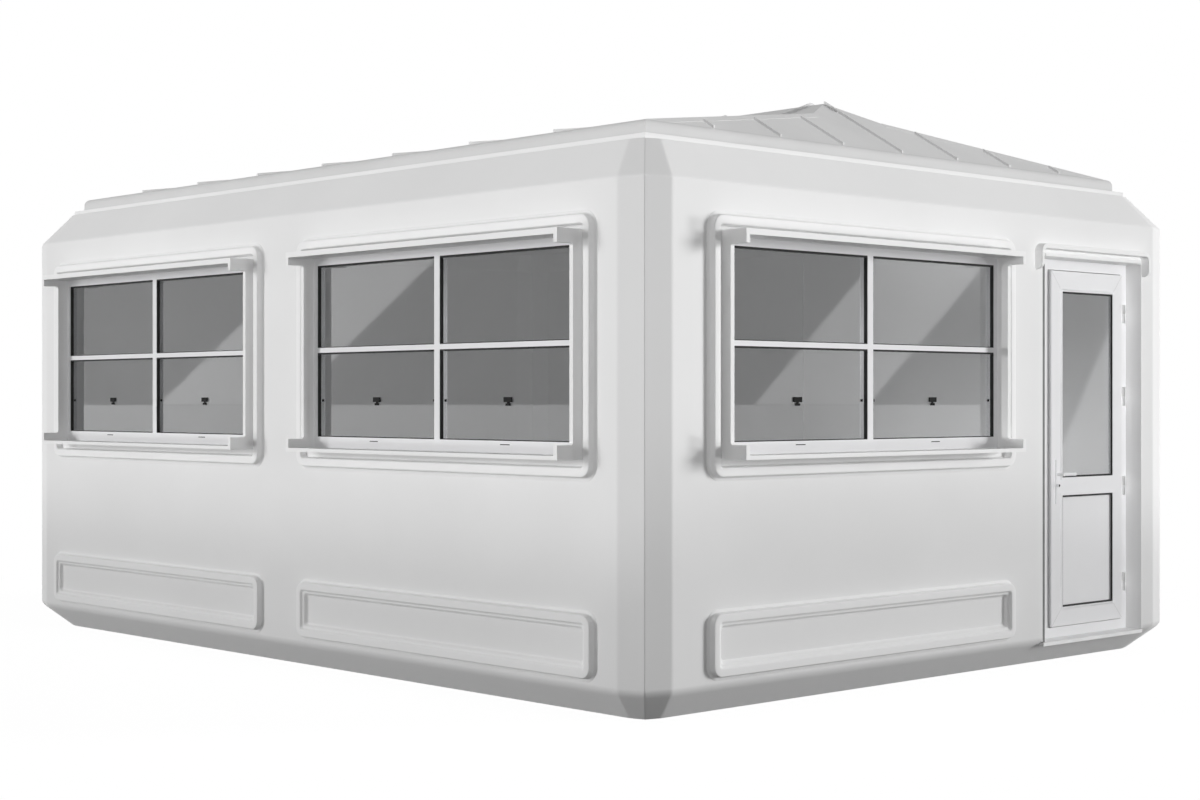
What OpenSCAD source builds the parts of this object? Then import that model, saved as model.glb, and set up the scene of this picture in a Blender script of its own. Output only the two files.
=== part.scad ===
// Security guard booth: a moulded panel cabin on a rectangular plan, with folded corners,
// a hipped standing-seam roof, windows in projecting surrounds and a part-glazed door.
// Millimetres, +Z up, origin on the ground at the middle of the plan. The front wall faces
// -Y and runs along X, and the long side walls run along Y.

/* [Body] */
// Width of the front wall, between the planes of the side walls
body_w = 3996; // [3900:2:4800]
// Length of the side walls, between the planes of the front and back walls
body_l = 5260; // [5160:2:6400]
// Thickness of the wall panels
wall_t = 60; // [40:1:80]
// Height of the bottom chamfer
base_h = 128; // [110:1:145]
// Inset of the bottom edge from the wall plane
base_in = 146; // [100:1:170]
// Height of the fold under the top chamfer
wall_fold_z = 2278; // [2220:1:2500]
// Rise of the top chamfer
top_h = 177; // [140:1:240]
// Inset of the top edge from the wall plane
top_in = 146; // [110:1:160]
// Distance of a corner fold from the corner, along the wall
corner_run = 163; // [120:1:190]
// Inset of the corner seam from both wall planes
corner_in = 36; // [20:1:50]
// Distance of a corner fold from the corner at the top and bottom edges
corner_end_run = 95; // [60:1:120]

/* [Floor and ceiling] */
// Height of the floor deck, where the door's threshold lies
floor_h = 103; // [80:1:106]
// Thickness of the ceiling panel
ceiling_t = 60; // [30:1:80]
// Width of the inner strips over the joint between the two halves of the cabin
strip_w = 90; // [60:1:140]
// Thickness of those strips
strip_t = 8; // [4:1:12]

/* [Roof] */
// Inset of the rim from the wall plane
rim_in = 177; // [165:1:190]
// Height of the rim
rim_h = 25; // [18:1:45]
// Width of the rim, under the fascia
rim_w = 170; // [140:1:220]
// Inset of the fascia from the wall plane
fascia_in = 218; // [200:1:235]
// Height of the fascia, up to the eave
fascia_h = 69; // [55:1:95]
// Thickness of the fascia
fascia_t = 64; // [50:1:90]
// Radius of the fascia's rounded top edge
fascia_r = 32; // [16:1:36]
// Thickness of the roof sheets, measured upright
sheet_t = 28; // [18:1:36]
// Rise of the side slopes from the eave to the ridge
roof_rise = 239; // [160:1:340]
// Run of the end slopes, from the eave to the ridge's end
hip_run = 406; // [300:1:700]
// Height of the ridge cap over the ridge of the slopes
cap_rise = 56; // [30:1:90]
// Width of the ridge cap
cap_w = 530; // [300:2:700]
// Width of a standing seam
seam_w = 10; // [8:1:24]
// Height of a standing seam
seam_h = 14; // [10:1:30]
// Spacing of the seams on the end slopes
end_pitch = 441; // [380:1:500]
// Spacing of the seams on the side slopes
side_pitch = 597; // [500:1:640]
// Width of a hip flashing
hip_cap_w = 70; // [50:1:100]
// Height of a hip flashing over the sheets
hip_cap_h = 5; // [4:1:15]

/* [Window mouldings] */
// Width of the raised mouldings on the side and back walls
ring_w = 2190; // [2130:2:2220]
// Height of the window moulding's lower edge
ring_bottom = 1003; // [900:1:1100]
// Distance of the window moulding's upper edge below the wall's top fold
ring_top = 125; // [100:1:200]
// Width of the moulding's band, on the wall
ring_band = 66; // [56:1:74]
// Projection of the moulding from the wall
ring_h = 30; // [20:1:50]
// Outer corner radius of the moulding
ring_r = 72; // [50:1:120]
// Draft of the moulding's sides
ring_draft = 14; // [6:1:16]
// Distance of the lower moulding above the wall's bottom fold
low_bottom = 27; // [20:1:80]
// Height of the lower moulding, from its lower edge to its upper edge
low_top = 304; // [270:1:450]
// Width of the lower moulding's band, on the wall
low_band = 86; // [76:1:96]
// Outer corner radius of the lower moulding
low_r = 66; // [50:1:90]
// Slope of the lower moulding's outer side
low_draft = 22; // [14:1:28]
// Slope of each of the two steps on the lower moulding's inner side
low_step = 12; // [8:1:15]
// Projection of the lower moulding from the wall
low_h = 30; // [20:1:40]

/* [Windows] */
// Distance of the front window's moulding from the front wall's left end
front_window_x = 368; // [300:1:450]
// Distance between the front window's moulding and the door recess
door_gap = 251; // [200:1:350]
// Distance of a side window's middle from the middle of the side wall
side_window_y = 1250; // [1180:1:1270]
// Width of a side window's surround
surround_w = 2003; // [1900:1:2020]
// Height of the sill plate's underside over the moulding's lower edge
sill_z = 92; // [76:1:110]
// Thickness of the sill plate
sill_t = 18; // [12:1:24]
// Distance of the hood plate's top below the moulding's upper edge
hood_z = 80; // [76:1:110]
// Thickness of the hood plate
hood_t = 26; // [18:1:34]
// Thickness of the surround's cheeks
cheek_t = 23; // [16:1:30]
// Projection of the hood, the sill and the cheeks' ends from the wall
surround_out = 142; // [80:1:160]
// Projection of the cheeks between their ends
cheek_out = 51; // [42:1:60]
// Height of a cheek's projecting end
horn_h = 62; // [50:1:80]
// Bevel where a cheek steps back
horn_bevel = 8; // [6:1:20]
// Setback of the window frame's face from the wall plane
frame_back = 11; // [5:1:16]
// Width of the window frame's side members
stile_w = 30; // [24:1:45]
// Height of the window frame's top rail
head_w = 36; // [28:1:50]
// Height of the window frame's bottom rail
foot_w = 54; // [40:1:65]
// Width of the mullion
mullion_w = 40; // [30:1:50]
// Height of the transom
transom_w = 24; // [18:1:40]
// Height of the transom's middle over the window frame's underside
transom_z = 480; // [400:1:540]
// Setback of the glass from the frame's face
glass_back = 20; // [12:1:24]
// Thickness of the glass
glass_t = 6; // [4:1:8]
// Height of the latches over the window frame's underside
latch_z = 233; // [180:1:300]
// Width of a latch
latch_w = 44; // [30:1:60]

/* [Door] */
// Distance of the door recess's hinge side from the front wall's right end
door_end = 279; // [250:1:300]
// Width of the door recess
recess_w = 908; // [880:1:920]
// Depth of the door recess, from the wall plane to the door frame
recess_d = 95; // [80:1:110]
// Height of the door recess, over the threshold plate
recess_top = 1952; // [1900:1:2000]
// Thickness of the moulded lining of the recess
lining_t = 12; // [8:1:14]
// Width of the lining's inner strip, beside the door frame on the handle side
lining_strip = 136; // [100:1:150]
// Thickness of the threshold plate
threshold_t = 18; // [12:1:24]
// Projection of the threshold plate from the wall plane
threshold_out = 6; // [2:1:15]
// Depth of the door frame
frame_d = 60; // [50:1:70]
// Width of the door frame's members
jamb_w = 52; // [44:1:60]
// Width of the door stop behind the leaf
stop_w = 16; // [10:1:22]
// Thickness of the door stop
stop_t = 14; // [10:1:16]
// Gap round the door leaf
leaf_gap = 5; // [5:0.5:8]
// Gap at the leaf's handle side, which swings past the frame
swing_gap = 8; // [8:0.5:12]
// Thickness of the door leaf
leaf_t = 54; // [46:1:58]
// Width of the door leaf's stiles
leaf_stile = 96; // [84:1:110]
// Height of the leaf's top rail
leaf_head = 106; // [90:1:120]
// Height of the leaf's bottom rail
leaf_foot = 98; // [80:1:130]
// Height of the middle of the leaf's middle rail, over the leaf's lower edge
rail_z = 722; // [680:1:780]
// Height of the leaf's middle rail
rail_h = 93; // [80:1:110]
// Setback of the glass and the lower panel from the leaf's face
infill_back = 7; // [4:1:24]
// Thickness of the leaf's lower panel
panel_t = 26; // [20:1:30]
// Width of a handle plate
plate_w = 30; // [26:1:36]
// Height of a handle plate
plate_h = 227; // [200:1:250]
// Length of the handle's lever
lever_l = 112; // [90:1:130]
// Height of the handle's spindle, over the leaf's lower edge
lever_z = 786; // [760:1:830]
// Radius of a hinge knuckle
knuckle_r = 8; // [6:0.5:9]
// Height of a hinge
hinge_h = 100; // [80:1:120]

/* [Door canopy] */
// Height of the canopy's top over the door recess
canopy_top = 66; // [60:1:110]
// Length of the canopy's ends below the top of the door recess
canopy_foot = 68; // [45:1:90]
// Reach of the canopy past the recess, on average of its two sides
canopy_reach = 50; // [36:1:56]
// Shift of the canopy's middle from the recess's, away from the hinges
canopy_shift = 19; // [0:1:24]
// Width of the canopy's band
canopy_band = 30; // [24:1:50]
// Projection of the canopy from the wall
canopy_out = 38; // [30:1:80]
// Outer corner radius of the canopy
canopy_r = 48; // [40:1:64]
// Projection of the drip bead on the recess's upper edge
bead_out = 22; // [15:1:28]
// Height of the drip bead
bead_h = 17; // [12:1:22]

/* [Hidden] */
$fn = 48;

// Colours
WHITE = "whitesmoke";
GREY = "gainsboro";
ROOF = "lightgray";
GLASS = "slategray";
BLACK = "dimgray";
METAL = "silver";

// Clearance of a seated piece, margin of a cut past a face, and a height above the whole part
seat = 0.3;
over = 10;
sky = 2 * wall_fold_z;

// Body levels and slants
half_w = body_w / 2;
half_l = body_l / 2;
top_z = wall_fold_z + top_h;
base_slant = norm([base_in, base_h]);
top_slant = norm([top_in, top_h]);
corner_bend = atan(corner_in / (corner_run - corner_in));
inner_low_fold = base_h + wall_t * (base_slant - base_h) / base_in;
inner_high_fold = wall_fold_z - wall_t * (top_slant - top_h) / top_in;

// Roof levels and slopes
rim_z = top_z + rim_h;
eave_z = rim_z + fascia_h;
eave_in = fascia_in + fascia_r;
eave_x = half_w - eave_in;
eave_y = half_l - eave_in;
ridge_y = eave_y - hip_run;
ridge_z = eave_z + roof_rise;
end_slope = roof_rise / hip_run;
side_slope = roof_rise / eave_x;
cap_foot_z = ridge_z - side_slope * cap_w / 2;
cap_foot_y = eave_y - (cap_foot_z - eave_z) / end_slope;
cap_top_z = ridge_z + cap_rise;
cap_top_y = eave_y - (cap_top_z - eave_z) / end_slope;

// Moulding and window heights, and the width and the middle of the front window's moulding
ring_top_z = wall_fold_z - ring_top;
low_bottom_z = base_h + low_bottom;
sill_bottom = ring_bottom + sill_z;
window_bottom = sill_bottom + sill_t;
hood_top = ring_top_z - hood_z;
window_top = hood_top - hood_t;
front_ring_w = body_w - door_end - recess_w - door_gap - front_window_x;
front_u = front_window_x + front_ring_w / 2 - half_w;
front_surround_w = front_ring_w - ring_w + surround_w;
glass_d = frame_back + glass_back;
transom_mid = window_bottom + transom_z;
lower_pane = [window_bottom + foot_w, transom_mid - transom_w / 2];
upper_pane = [transom_mid + transom_w / 2, window_top - head_w];

// Width of one pane in a surround of width w, and its middle's distance from the window's
function pane_w(w) = (w - 2 * cheek_t - 2 * stile_w - mullion_w) / 2;
function pane_x(w) = (mullion_w + pane_w(w)) / 2;

// Door places, from the middle of the front wall and from the wall plane
recess_right = half_w - door_end;
recess_left = recess_right - recess_w;
recess_mid = (recess_left + recess_right) / 2;
frame_end_d = recess_d + frame_d;
door_bottom = floor_h + threshold_t;
recess_top_z = door_bottom + recess_top;
frame_left = recess_left + lining_strip;
leaf_right = recess_right - jamb_w - leaf_gap;
leaf_left = frame_left + jamb_w + swing_gap;
leaf_bottom = door_bottom + jamb_w + leaf_gap;
leaf_top = recess_top_z - jamb_w - leaf_gap;
leaf_back = frame_end_d - stop_t - leaf_gap;
leaf_front = leaf_back - leaf_t;
light_left = leaf_left + leaf_stile;
light_right = leaf_right - leaf_stile;
rail_mid = leaf_bottom + rail_z;
light_span = [rail_mid + rail_h / 2, leaf_top - leaf_head];
panel_span = [leaf_bottom + leaf_foot, rail_mid - rail_h / 2];
handle_x = leaf_left + leaf_stile / 2;
hinge_x = leaf_right + leaf_gap / 2;
hinge_d = leaf_front - knuckle_r - leaf_gap;
half_hinge = hinge_h / 2;
pin_r = knuckle_r / 2;
hinge_shares = [0.08, 0.36, 0.62, 0.86];
hinge_bottoms = [for (share = hinge_shares) leaf_bottom + share * (leaf_top - leaf_bottom)];

// Signs of the plan's corners, in turn round the plan from the front left one
CORNERS = [[-1, -1], [1, -1], [1, 1], [-1, 1]];

// Puts a shape on a wall: its X runs to the right as seen from outside, its Y runs inwards
// from the wall plane, and u is its place along the wall from the wall's middle.
module on_front(u) { translate([u, -half_l, 0]) children(); }
module on_back(u) { translate([u, half_l, 0]) rotate(180) children(); }
module on_left(u) { translate([-half_w, u, 0]) rotate(-90) children(); }
module on_right(u) { translate([half_w, u, 0]) rotate(90) children(); }

// A box between two corners
module box(low, high) { translate(low) cube(high - low); }

// A slab as large as the plan, less an inset on all sides
module plan_slab(inset, bottom, top) {
    box([inset - half_w, inset - half_l, bottom], [half_w - inset, half_l - inset, top]);
}

// One corner's three points, in turn round the plan: a fold, the seam and the other fold
function corner_points(c, inset, run, apex, z) =
    let (s = CORNERS[c],
         on_side = [s.x * (half_w - inset), s.y * (half_l - run), z],
         seam = [s.x * (half_w - apex), s.y * (half_l - apex), z],
         on_end = [s.x * (half_w - run), s.y * (half_l - inset), z])
    c % 2 == 0 ? [on_side, seam, on_end] : [on_end, seam, on_side];

// A level of the cabin's form: the wall faces are drawn in by inset, and each corner's fold
// and seam lie further in by run and apex
function form_level(inset, run, apex, z) =
    [for (c = [0:3]) each corner_points(c, inset, inset + run, inset + apex, z)];

// The cabin's whole form, moved inwards by inset, and lengthened past its top and bottom
module cabin_form(inset, past) {
    low_in = base_in + inset * base_slant / base_h + past * base_in / base_h;
    high_in = top_in + inset * top_slant / top_h + past * top_in / top_h;
    low_fold = base_h + inset * (base_slant - base_h) / base_in;
    high_fold = wall_fold_z - inset * (top_slant - top_h) / top_in;
    run = corner_run + inset * tan(corner_bend / 2) - inset;
    apex = corner_in + inset / (sin(corner_bend) + cos(corner_bend)) - inset;
    end_share = corner_end_run / corner_run;
    points = concat(
        form_level(low_in, end_share * run, end_share * apex, -past),
        form_level(inset, run, apex, low_fold),
        form_level(inset, run, apex, high_fold),
        form_level(high_in, end_share * run, end_share * apex, top_z + past));
    ring = 12;
    faces = concat(
        [[for (i = [0:ring - 1]) i], [for (i = [1:ring]) 4 * ring - i]],
        [for (level = [0:2], i = [0:ring - 1])
            let (low = level * ring, next = (i + 1) % ring)
            [low + i, low + ring + i, low + ring + next, low + next]]);
    polyhedron(points, faces);
}

// The walls all round, in one
module wall_shell() {
    difference() {
        cabin_form(0, 0);
        cabin_form(wall_t, over);
    }
}

// The share of the plan that belongs to the front wall, and to the left wall's front half,
// mitred at the corner seams
module front_share() {
    linear_extrude(top_z) polygon([[-half_w, -half_l], [half_w, -half_l], [0, half_w - half_l]]);
}
module left_front_share() {
    linear_extrude(top_z) polygon([[-half_w, -half_l], [0, half_w - half_l], [0, 0], [-half_w, 0]]);
}

// The hole for a window surround, in its wall's own frame
module window_hole(w) {
    box([-w / 2, -over, sill_bottom], [w / 2, wall_t + over, hood_top]);
}

// The front half of the left wall, without its window
module side_wall_half() {
    intersection() {
        wall_shell();
        left_front_share();
    }
}

// The front wall between two places along it and two heights
module front_wall_part(left, right, bottom, top) {
    intersection() {
        wall_shell();
        front_share();
        box([left, -half_l, bottom], [right, half_w - half_l, top]);
    }
}

module floor_deck() {
    color(GREY) intersection() {
        cabin_form(wall_t + seat, over);
        plan_slab(0, 0, floor_h);
    }
}

module front_wall_panel() {
    color(WHITE) difference() {
        front_wall_part(-half_w, recess_left - lining_t, 0, top_z);
        on_front(front_u) window_hole(front_surround_w);
    }
}

module front_wall_lintel() {
    color(WHITE) front_wall_part(recess_left - lining_t, recess_right + lining_t,
                                 recess_top_z + lining_t, top_z);
}

module front_wall_pier() {
    color(WHITE) front_wall_part(recess_right + lining_t, half_w, 0, top_z);
}

module front_wall_skirt() {
    color(WHITE) front_wall_part(recess_left - lining_t, recess_right + lining_t, 0, floor_h);
}

module left_wall_front() {
    color(WHITE) difference() {
        side_wall_half();
        on_left(-side_window_y) window_hole(surround_w);
    }
}

module left_wall_back() {
    color(WHITE) mirror([0, 1, 0]) difference() {
        side_wall_half();
        on_left(-side_window_y) window_hole(surround_w);
    }
}

module right_wall_front() {
    color(WHITE) mirror([1, 0, 0]) side_wall_half();
}

module right_wall_back() {
    color(WHITE) mirror([1, 0, 0]) mirror([0, 1, 0]) side_wall_half();
}

module back_wall() {
    color(WHITE) mirror([0, 1, 0]) front_wall_part(-half_w, half_w, 0, top_z);
}

module ceiling_panel() {
    color(WHITE) intersection() {
        cabin_form(wall_t + seat, over);
        plan_slab(0, top_z - ceiling_t, top_z);
    }
}

// Cover strips on the inner side walls, over the joint between the two halves of the cabin
module inner_joint_strips() {
    inner = half_w - wall_t;
    color(WHITE) for (side = [0, 1])
        mirror([side, 0, 0])
            box([-inner, -strip_w / 2, inner_low_fold], [strip_t - inner, strip_w / 2, inner_high_fold]);
}

module eave_rim() {
    color(WHITE) difference() {
        plan_slab(rim_in, top_z, rim_z);
        plan_slab(rim_in + rim_w, top_z - over, rim_z + over);
    }
}

// The fascia's rounded top edge is a stack of slabs that draw in along a quarter circle
module roof_fascia() {
    round_steps = 6;
    color(GREY) difference() {
        hull() for (i = [0:round_steps - 1]) {
            a = 90 * i / round_steps;
            plan_slab(fascia_in + fascia_r * (1 - cos(a)), rim_z, eave_z - fascia_r * (1 - sin(a)));
        }
        plan_slab(fascia_in + fascia_t, rim_z - over, eave_z + over);
        plan_slab(eave_in, eave_z - sheet_t, eave_z + over);
    }
}

// Outlines of the roof's front slope, its left slope, and the left flank and front of the ridge cap
FRONT_SLOPE = [[-eave_x, -eave_y, eave_z], [eave_x, -eave_y, eave_z], [0, -ridge_y, ridge_z]];
LEFT_SLOPE = [
    [-eave_x, -eave_y, eave_z], [0, -ridge_y, ridge_z], [0, ridge_y, ridge_z], [-eave_x, eave_y, eave_z]
];
CAP_FLANK = [
    [-cap_w / 2, -cap_foot_y, cap_foot_z], [0, -cap_top_y, cap_top_z],
    [0, cap_top_y, cap_top_z], [-cap_w / 2, cap_foot_y, cap_foot_z]
];
CAP_FRONT = [CAP_FLANK[0], [cap_w / 2, -cap_foot_y, cap_foot_z], CAP_FLANK[1]];

// The slab between an outline, lifted, and the same outline t lower
module slab_under(outline, t, lift = 0) {
    n = len(outline);
    upper = [for (p = outline) p + [0, 0, lift]];
    lower = [for (p = upper) p - [0, 0, t]];
    sides = [for (i = [0:n - 1]) [n + i, i, (i + 1) % n, n + (i + 1) % n]];
    ends = [[for (i = [n - 1:-1:0]) i], [for (i = [0:n - 1]) n + i]];
    polyhedron(concat(upper, lower), concat(ends, sides));
}

// Upright strips over the hips, outside the ridge cap
module hip_strips() {
    length = norm([eave_x, hip_run]);
    difference() {
        for (s = CORNERS)
            translate([s.x * eave_x, s.y * eave_y, rim_z])
                rotate(atan2(-s.y * hip_run, -s.x * eave_x))
                    translate([-hip_cap_w, -hip_cap_w / 2, 0]) cube([length + hip_cap_w, hip_cap_w, sky]);
        cap_strip();
    }
}

// The upright space over the ridge cap
module cap_strip() {
    box([-cap_w / 2, -eave_y, 0], [cap_w / 2, eave_y, 2 * sky]);
}

// Upright strips where the seams of the end slopes, and of the side slopes, lie
module end_seam_strips() {
    count = floor((eave_x - 2 * hip_cap_w) / end_pitch);
    for (i = [-count:count])
        box([i * end_pitch - seam_w / 2, -half_l, rim_z], [i * end_pitch + seam_w / 2, half_l, sky]);
}
module side_seam_strips() {
    count = floor((eave_y - 2 * hip_cap_w) / side_pitch);
    for (i = [-count:count])
        box([-half_w, i * side_pitch - seam_w / 2, rim_z], [half_w, i * side_pitch + seam_w / 2, sky]);
}

// The standing seams of one slope, where its strips lie
module seams(outline) {
    intersection() {
        slab_under(outline, seam_h, seam_h);
        children();
    }
}

module front_slope() {
    slab_under(FRONT_SLOPE, sheet_t);
    difference() {
        seams(FRONT_SLOPE) end_seam_strips();
        hip_strips();
    }
}

module left_slope() {
    slab_under(LEFT_SLOPE, sheet_t);
    difference() {
        seams(LEFT_SLOPE) side_seam_strips();
        hip_strips();
        cap_strip();
    }
}

module roof_front() { color(ROOF) front_slope(); }
module roof_back() { color(ROOF) mirror([0, 1, 0]) front_slope(); }
module roof_left() { color(ROOF) left_slope(); }
module roof_right() { color(ROOF) mirror([1, 0, 0]) left_slope(); }

// The ridge cap has steeper flanks than the slopes under it, and ends in line with the end slopes
module ridge_cap() {
    foot = [for (s = CORNERS) [s.x * cap_w / 2, s.y * cap_foot_y, cap_foot_z]];
    ridge = [[0, -ridge_y, ridge_z], [0, ridge_y, ridge_z]];
    top = [[0, -cap_top_y, cap_top_z], [0, cap_top_y, cap_top_z]];
    faces = [
        [0, 3, 7, 6], [1, 6, 7, 2], [0, 4, 5, 3], [1, 2, 5, 4],
        [0, 6, 4], [1, 4, 6], [3, 5, 7], [2, 7, 5]
    ];
    color(ROOF) {
        polyhedron(concat(foot, ridge, top), faces);
        for (side = [0, 1]) {
            mirror([side, 0, 0]) seams(CAP_FLANK) side_seam_strips();
            mirror([0, side, 0]) seams(CAP_FRONT)
                box([-seam_w / 2, -ridge_y, rim_z], [seam_w / 2, 0, sky]);
        }
    }
}

// Flashings over the four hips, on both slopes beside each hip
module hip_caps() {
    color(ROOF) for (side = [0, 1]) {
        intersection() {
            hip_strips();
            mirror([0, side, 0]) slab_under(FRONT_SLOPE, hip_cap_h, hip_cap_h);
        }
        intersection() {
            hip_strips();
            mirror([side, 0, 0]) slab_under(LEFT_SLOPE, hip_cap_h, hip_cap_h);
        }
    }
}

// Stands a flat shape upright: its Y becomes the height, and its height comes out of the wall
module upright() { rotate([90, 0, 0]) children(); }

// A block with round corners, drawn in from low to high as a moulding is, so that its
// corners are cones: r is the corner radius at height 0, and slope its growth per height
module drafted_block(w, h, r, slope, low, high) {
    hull() for (s = CORNERS)
        translate([s.x * (w / 2 - r), s.y * (h / 2 - r), low])
            cylinder(h = high - low, r1 = r + slope * low, r2 = r + slope * high, $fn = 32);
}

// The raised moulding round a window place, with drafted sides
module window_moulding(w) {
    height = ring_top_z - ring_bottom;
    slope = ring_draft / ring_h;
    inner_r = max(ring_r - ring_band, ring_draft);
    translate([0, 0, (ring_top_z + ring_bottom) / 2]) upright() difference() {
        drafted_block(w, height, ring_r, -slope, 0, ring_h);
        drafted_block(w - 2 * ring_band, height - 2 * ring_band, inner_r, slope, -seat, ring_h + over);
    }
}

// The lower moulding, with a long outer slope and two steps on its inner side
module lower_moulding(w) {
    half = low_h / 2;
    inner_slope = low_step / half;
    inner_w = w - 2 * low_band;
    inner_h = low_top - 2 * low_band;
    tread = low_step / 2;
    translate([0, 0, low_bottom_z + low_top / 2]) upright() difference() {
        drafted_block(w, low_top, low_r, -low_draft / low_h, 0, low_h);
        drafted_block(inner_w, inner_h, low_step, inner_slope, -seat, low_h + over);
        translate([0, 0, half])
            drafted_block(inner_w + 2 * (low_step + tread), inner_h + 2 * (low_step + tread), 2 * low_step,
                          inner_slope, 0, half + over);
    }
}

module front_window_moulding() { color(WHITE) on_front(front_u) window_moulding(front_ring_w); }
module left_window_mouldings() {
    color(WHITE) for (side = [-1, 1]) on_left(side * side_window_y) window_moulding(ring_w);
}
module front_lower_moulding() { color(WHITE) on_front(front_u) lower_moulding(front_ring_w); }
module left_lower_mouldings() {
    color(WHITE) for (side = [-1, 1]) on_left(side * side_window_y) lower_moulding(ring_w);
}

// The same mouldings on the right and back walls, which have no windows
module blank_panel_mouldings() {
    color(WHITE) {
        for (side = [-1, 1]) on_right(side * side_window_y) {
            window_moulding(ring_w);
            lower_moulding(ring_w);
        }
        on_back(0) {
            window_moulding(ring_w);
            lower_moulding(ring_w);
        }
    }
}

// A window's projecting surround: hood, sill and cheeks with stepped fronts
module window_surround(w) {
    half = w / 2;
    low_step_z = sill_bottom + horn_h;
    high_step_z = hood_top - horn_h;
    cheek = [
        [wall_t, sill_bottom], [-surround_out, sill_bottom], [-surround_out, low_step_z],
        [-cheek_out - horn_bevel, low_step_z], [-cheek_out, low_step_z + horn_bevel],
        [-cheek_out, high_step_z - horn_bevel], [-cheek_out - horn_bevel, high_step_z],
        [-surround_out, high_step_z], [-surround_out, hood_top], [wall_t, hood_top]
    ];
    for (x = [-half, half - cheek_t])
        translate([x, 0, 0]) rotate([90, 0, 90]) linear_extrude(cheek_t) polygon(cheek);
    box([cheek_t - half, -surround_out, sill_bottom], [half - cheek_t, wall_t, window_bottom]);
    box([cheek_t - half, -surround_out, window_top], [half - cheek_t, wall_t, hood_top]);
}

module front_window_surround() { color(WHITE) on_front(front_u) window_surround(front_surround_w); }
module left_front_window_surround() { color(WHITE) on_left(-side_window_y) window_surround(surround_w); }
module left_back_window_surround() { color(WHITE) on_left(side_window_y) window_surround(surround_w); }

// A window's frame, with a mullion and a transom between its four lights
module window_frame(w) {
    half = w / 2 - cheek_t;
    half_pane = pane_w(w) / 2;
    difference() {
        box([-half, frame_back, window_bottom], [half, wall_t, window_top]);
        for (side = [-1, 1], pane = [lower_pane, upper_pane])
            translate([side * pane_x(w), 0, 0])
                box([-half_pane, 0, pane[0]], [half_pane, wall_t + over, pane[1]]);
    }
}

module front_window_frame() { color(WHITE) on_front(front_u) window_frame(front_surround_w); }
module left_front_window_frame() { color(WHITE) on_left(-side_window_y) window_frame(surround_w); }
module left_back_window_frame() { color(WHITE) on_left(side_window_y) window_frame(surround_w); }

// A window's four panes
module window_glass(w) {
    half_pane = pane_w(w) / 2 - seat;
    for (side = [-1, 1], pane = [lower_pane, upper_pane])
        translate([side * pane_x(w), 0, 0])
            box([-half_pane, glass_d, pane[0] + seat], [half_pane, glass_d + glass_t, pane[1] - seat]);
}

module front_window_glass() { color(GLASS) on_front(front_u) window_glass(front_surround_w); }
module left_front_window_glass() { color(GLASS) on_left(-side_window_y) window_glass(surround_w); }
module left_back_window_glass() { color(GLASS) on_left(side_window_y) window_glass(surround_w); }

// The black latches in the middle of the lower panes, and the stops at the panes' sides
module window_latches(w) {
    latch_h = 0.7 * latch_w;
    latch_d = 0.3 * latch_w;
    stop_r = 0.16 * latch_w;
    stop_x = pane_w(w) / 2 - latch_w / 2;
    for (side = [-1, 1]) translate([side * pane_x(w), glass_d, window_bottom + latch_z]) {
        box([-latch_w / 2, -latch_d, -latch_h / 2], [latch_w / 2, 0, latch_h / 2]);
        for (end = [-1, 1]) translate([end * stop_x, 0, 0]) upright() cylinder(h = latch_d / 2, r = stop_r);
    }
}

module pane_latches() {
    color(BLACK) {
        on_front(front_u) window_latches(front_surround_w);
        for (side = [-1, 1]) on_left(side * side_window_y) window_latches(surround_w);
    }
}

// The canopy's section: a band with drafted sides, from its inner edge to its outer edge
function band_section(r, band, out, draft) = [
    [r - band, 0], [r - band + draft, out - draft], [r - band + 2 * draft, out],
    [r - 2 * draft, out], [r - draft, out - draft], [r, 0]
];

// The canopy over the door: a round-cornered bar with turned-down ends, over a drip bead
module door_canopy() {
    reach = recess_w / 2 + canopy_reach;
    draft = canopy_band / 7;
    leg = canopy_top + canopy_foot - canopy_r - canopy_band / 2;
    arc_z = recess_top_z + canopy_top - canopy_r;
    section = band_section(canopy_r, canopy_band, canopy_out, draft);
    end_section = [
        [0, 0], [canopy_band / 2, 0], [canopy_band / 2 - draft, canopy_out - draft],
        [canopy_band / 2 - 2 * draft, canopy_out], [0, canopy_out]
    ];
    color(WHITE) on_front(recess_mid - canopy_shift) {
        upright() for (side = [0, 1]) mirror([side, 0, 0]) translate([0, arc_z, 0]) {
            rotate([90, 0, 90]) linear_extrude(reach - canopy_r) polygon(section);
            translate([reach - canopy_r, 0, 0]) {
                rotate_extrude(angle = 90) polygon(section);
                rotate(-90) rotate([90, 0, 90]) linear_extrude(leg) polygon(section);
            }
            translate([reach - canopy_band / 2, -leg, 0])
                rotate(180) rotate_extrude(angle = 180) polygon(end_section);
        }
        bead_half = reach - canopy_r - canopy_band / 2;
        box([-bead_half, -bead_out, recess_top_z], [bead_half, 0, recess_top_z + bead_h]);
    }
}

// The moulded lining of the door recess, with a strip beside the frame on the handle side
module door_lining() {
    color(WHITE) on_front(0) intersection() {
        union() {
            box([recess_left - lining_t, 0, floor_h], [recess_left, frame_end_d, recess_top_z]);
            box([recess_right, 0, floor_h], [recess_right + lining_t, frame_end_d, recess_top_z]);
            box([recess_left - lining_t, 0, recess_top_z],
                [recess_right + lining_t, frame_end_d, recess_top_z + lining_t]);
            box([recess_left, recess_d, door_bottom], [frame_left, frame_end_d, recess_top_z]);
        }
        translate([0, half_l, 0]) cabin_form(0, 0);
    }
}

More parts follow.
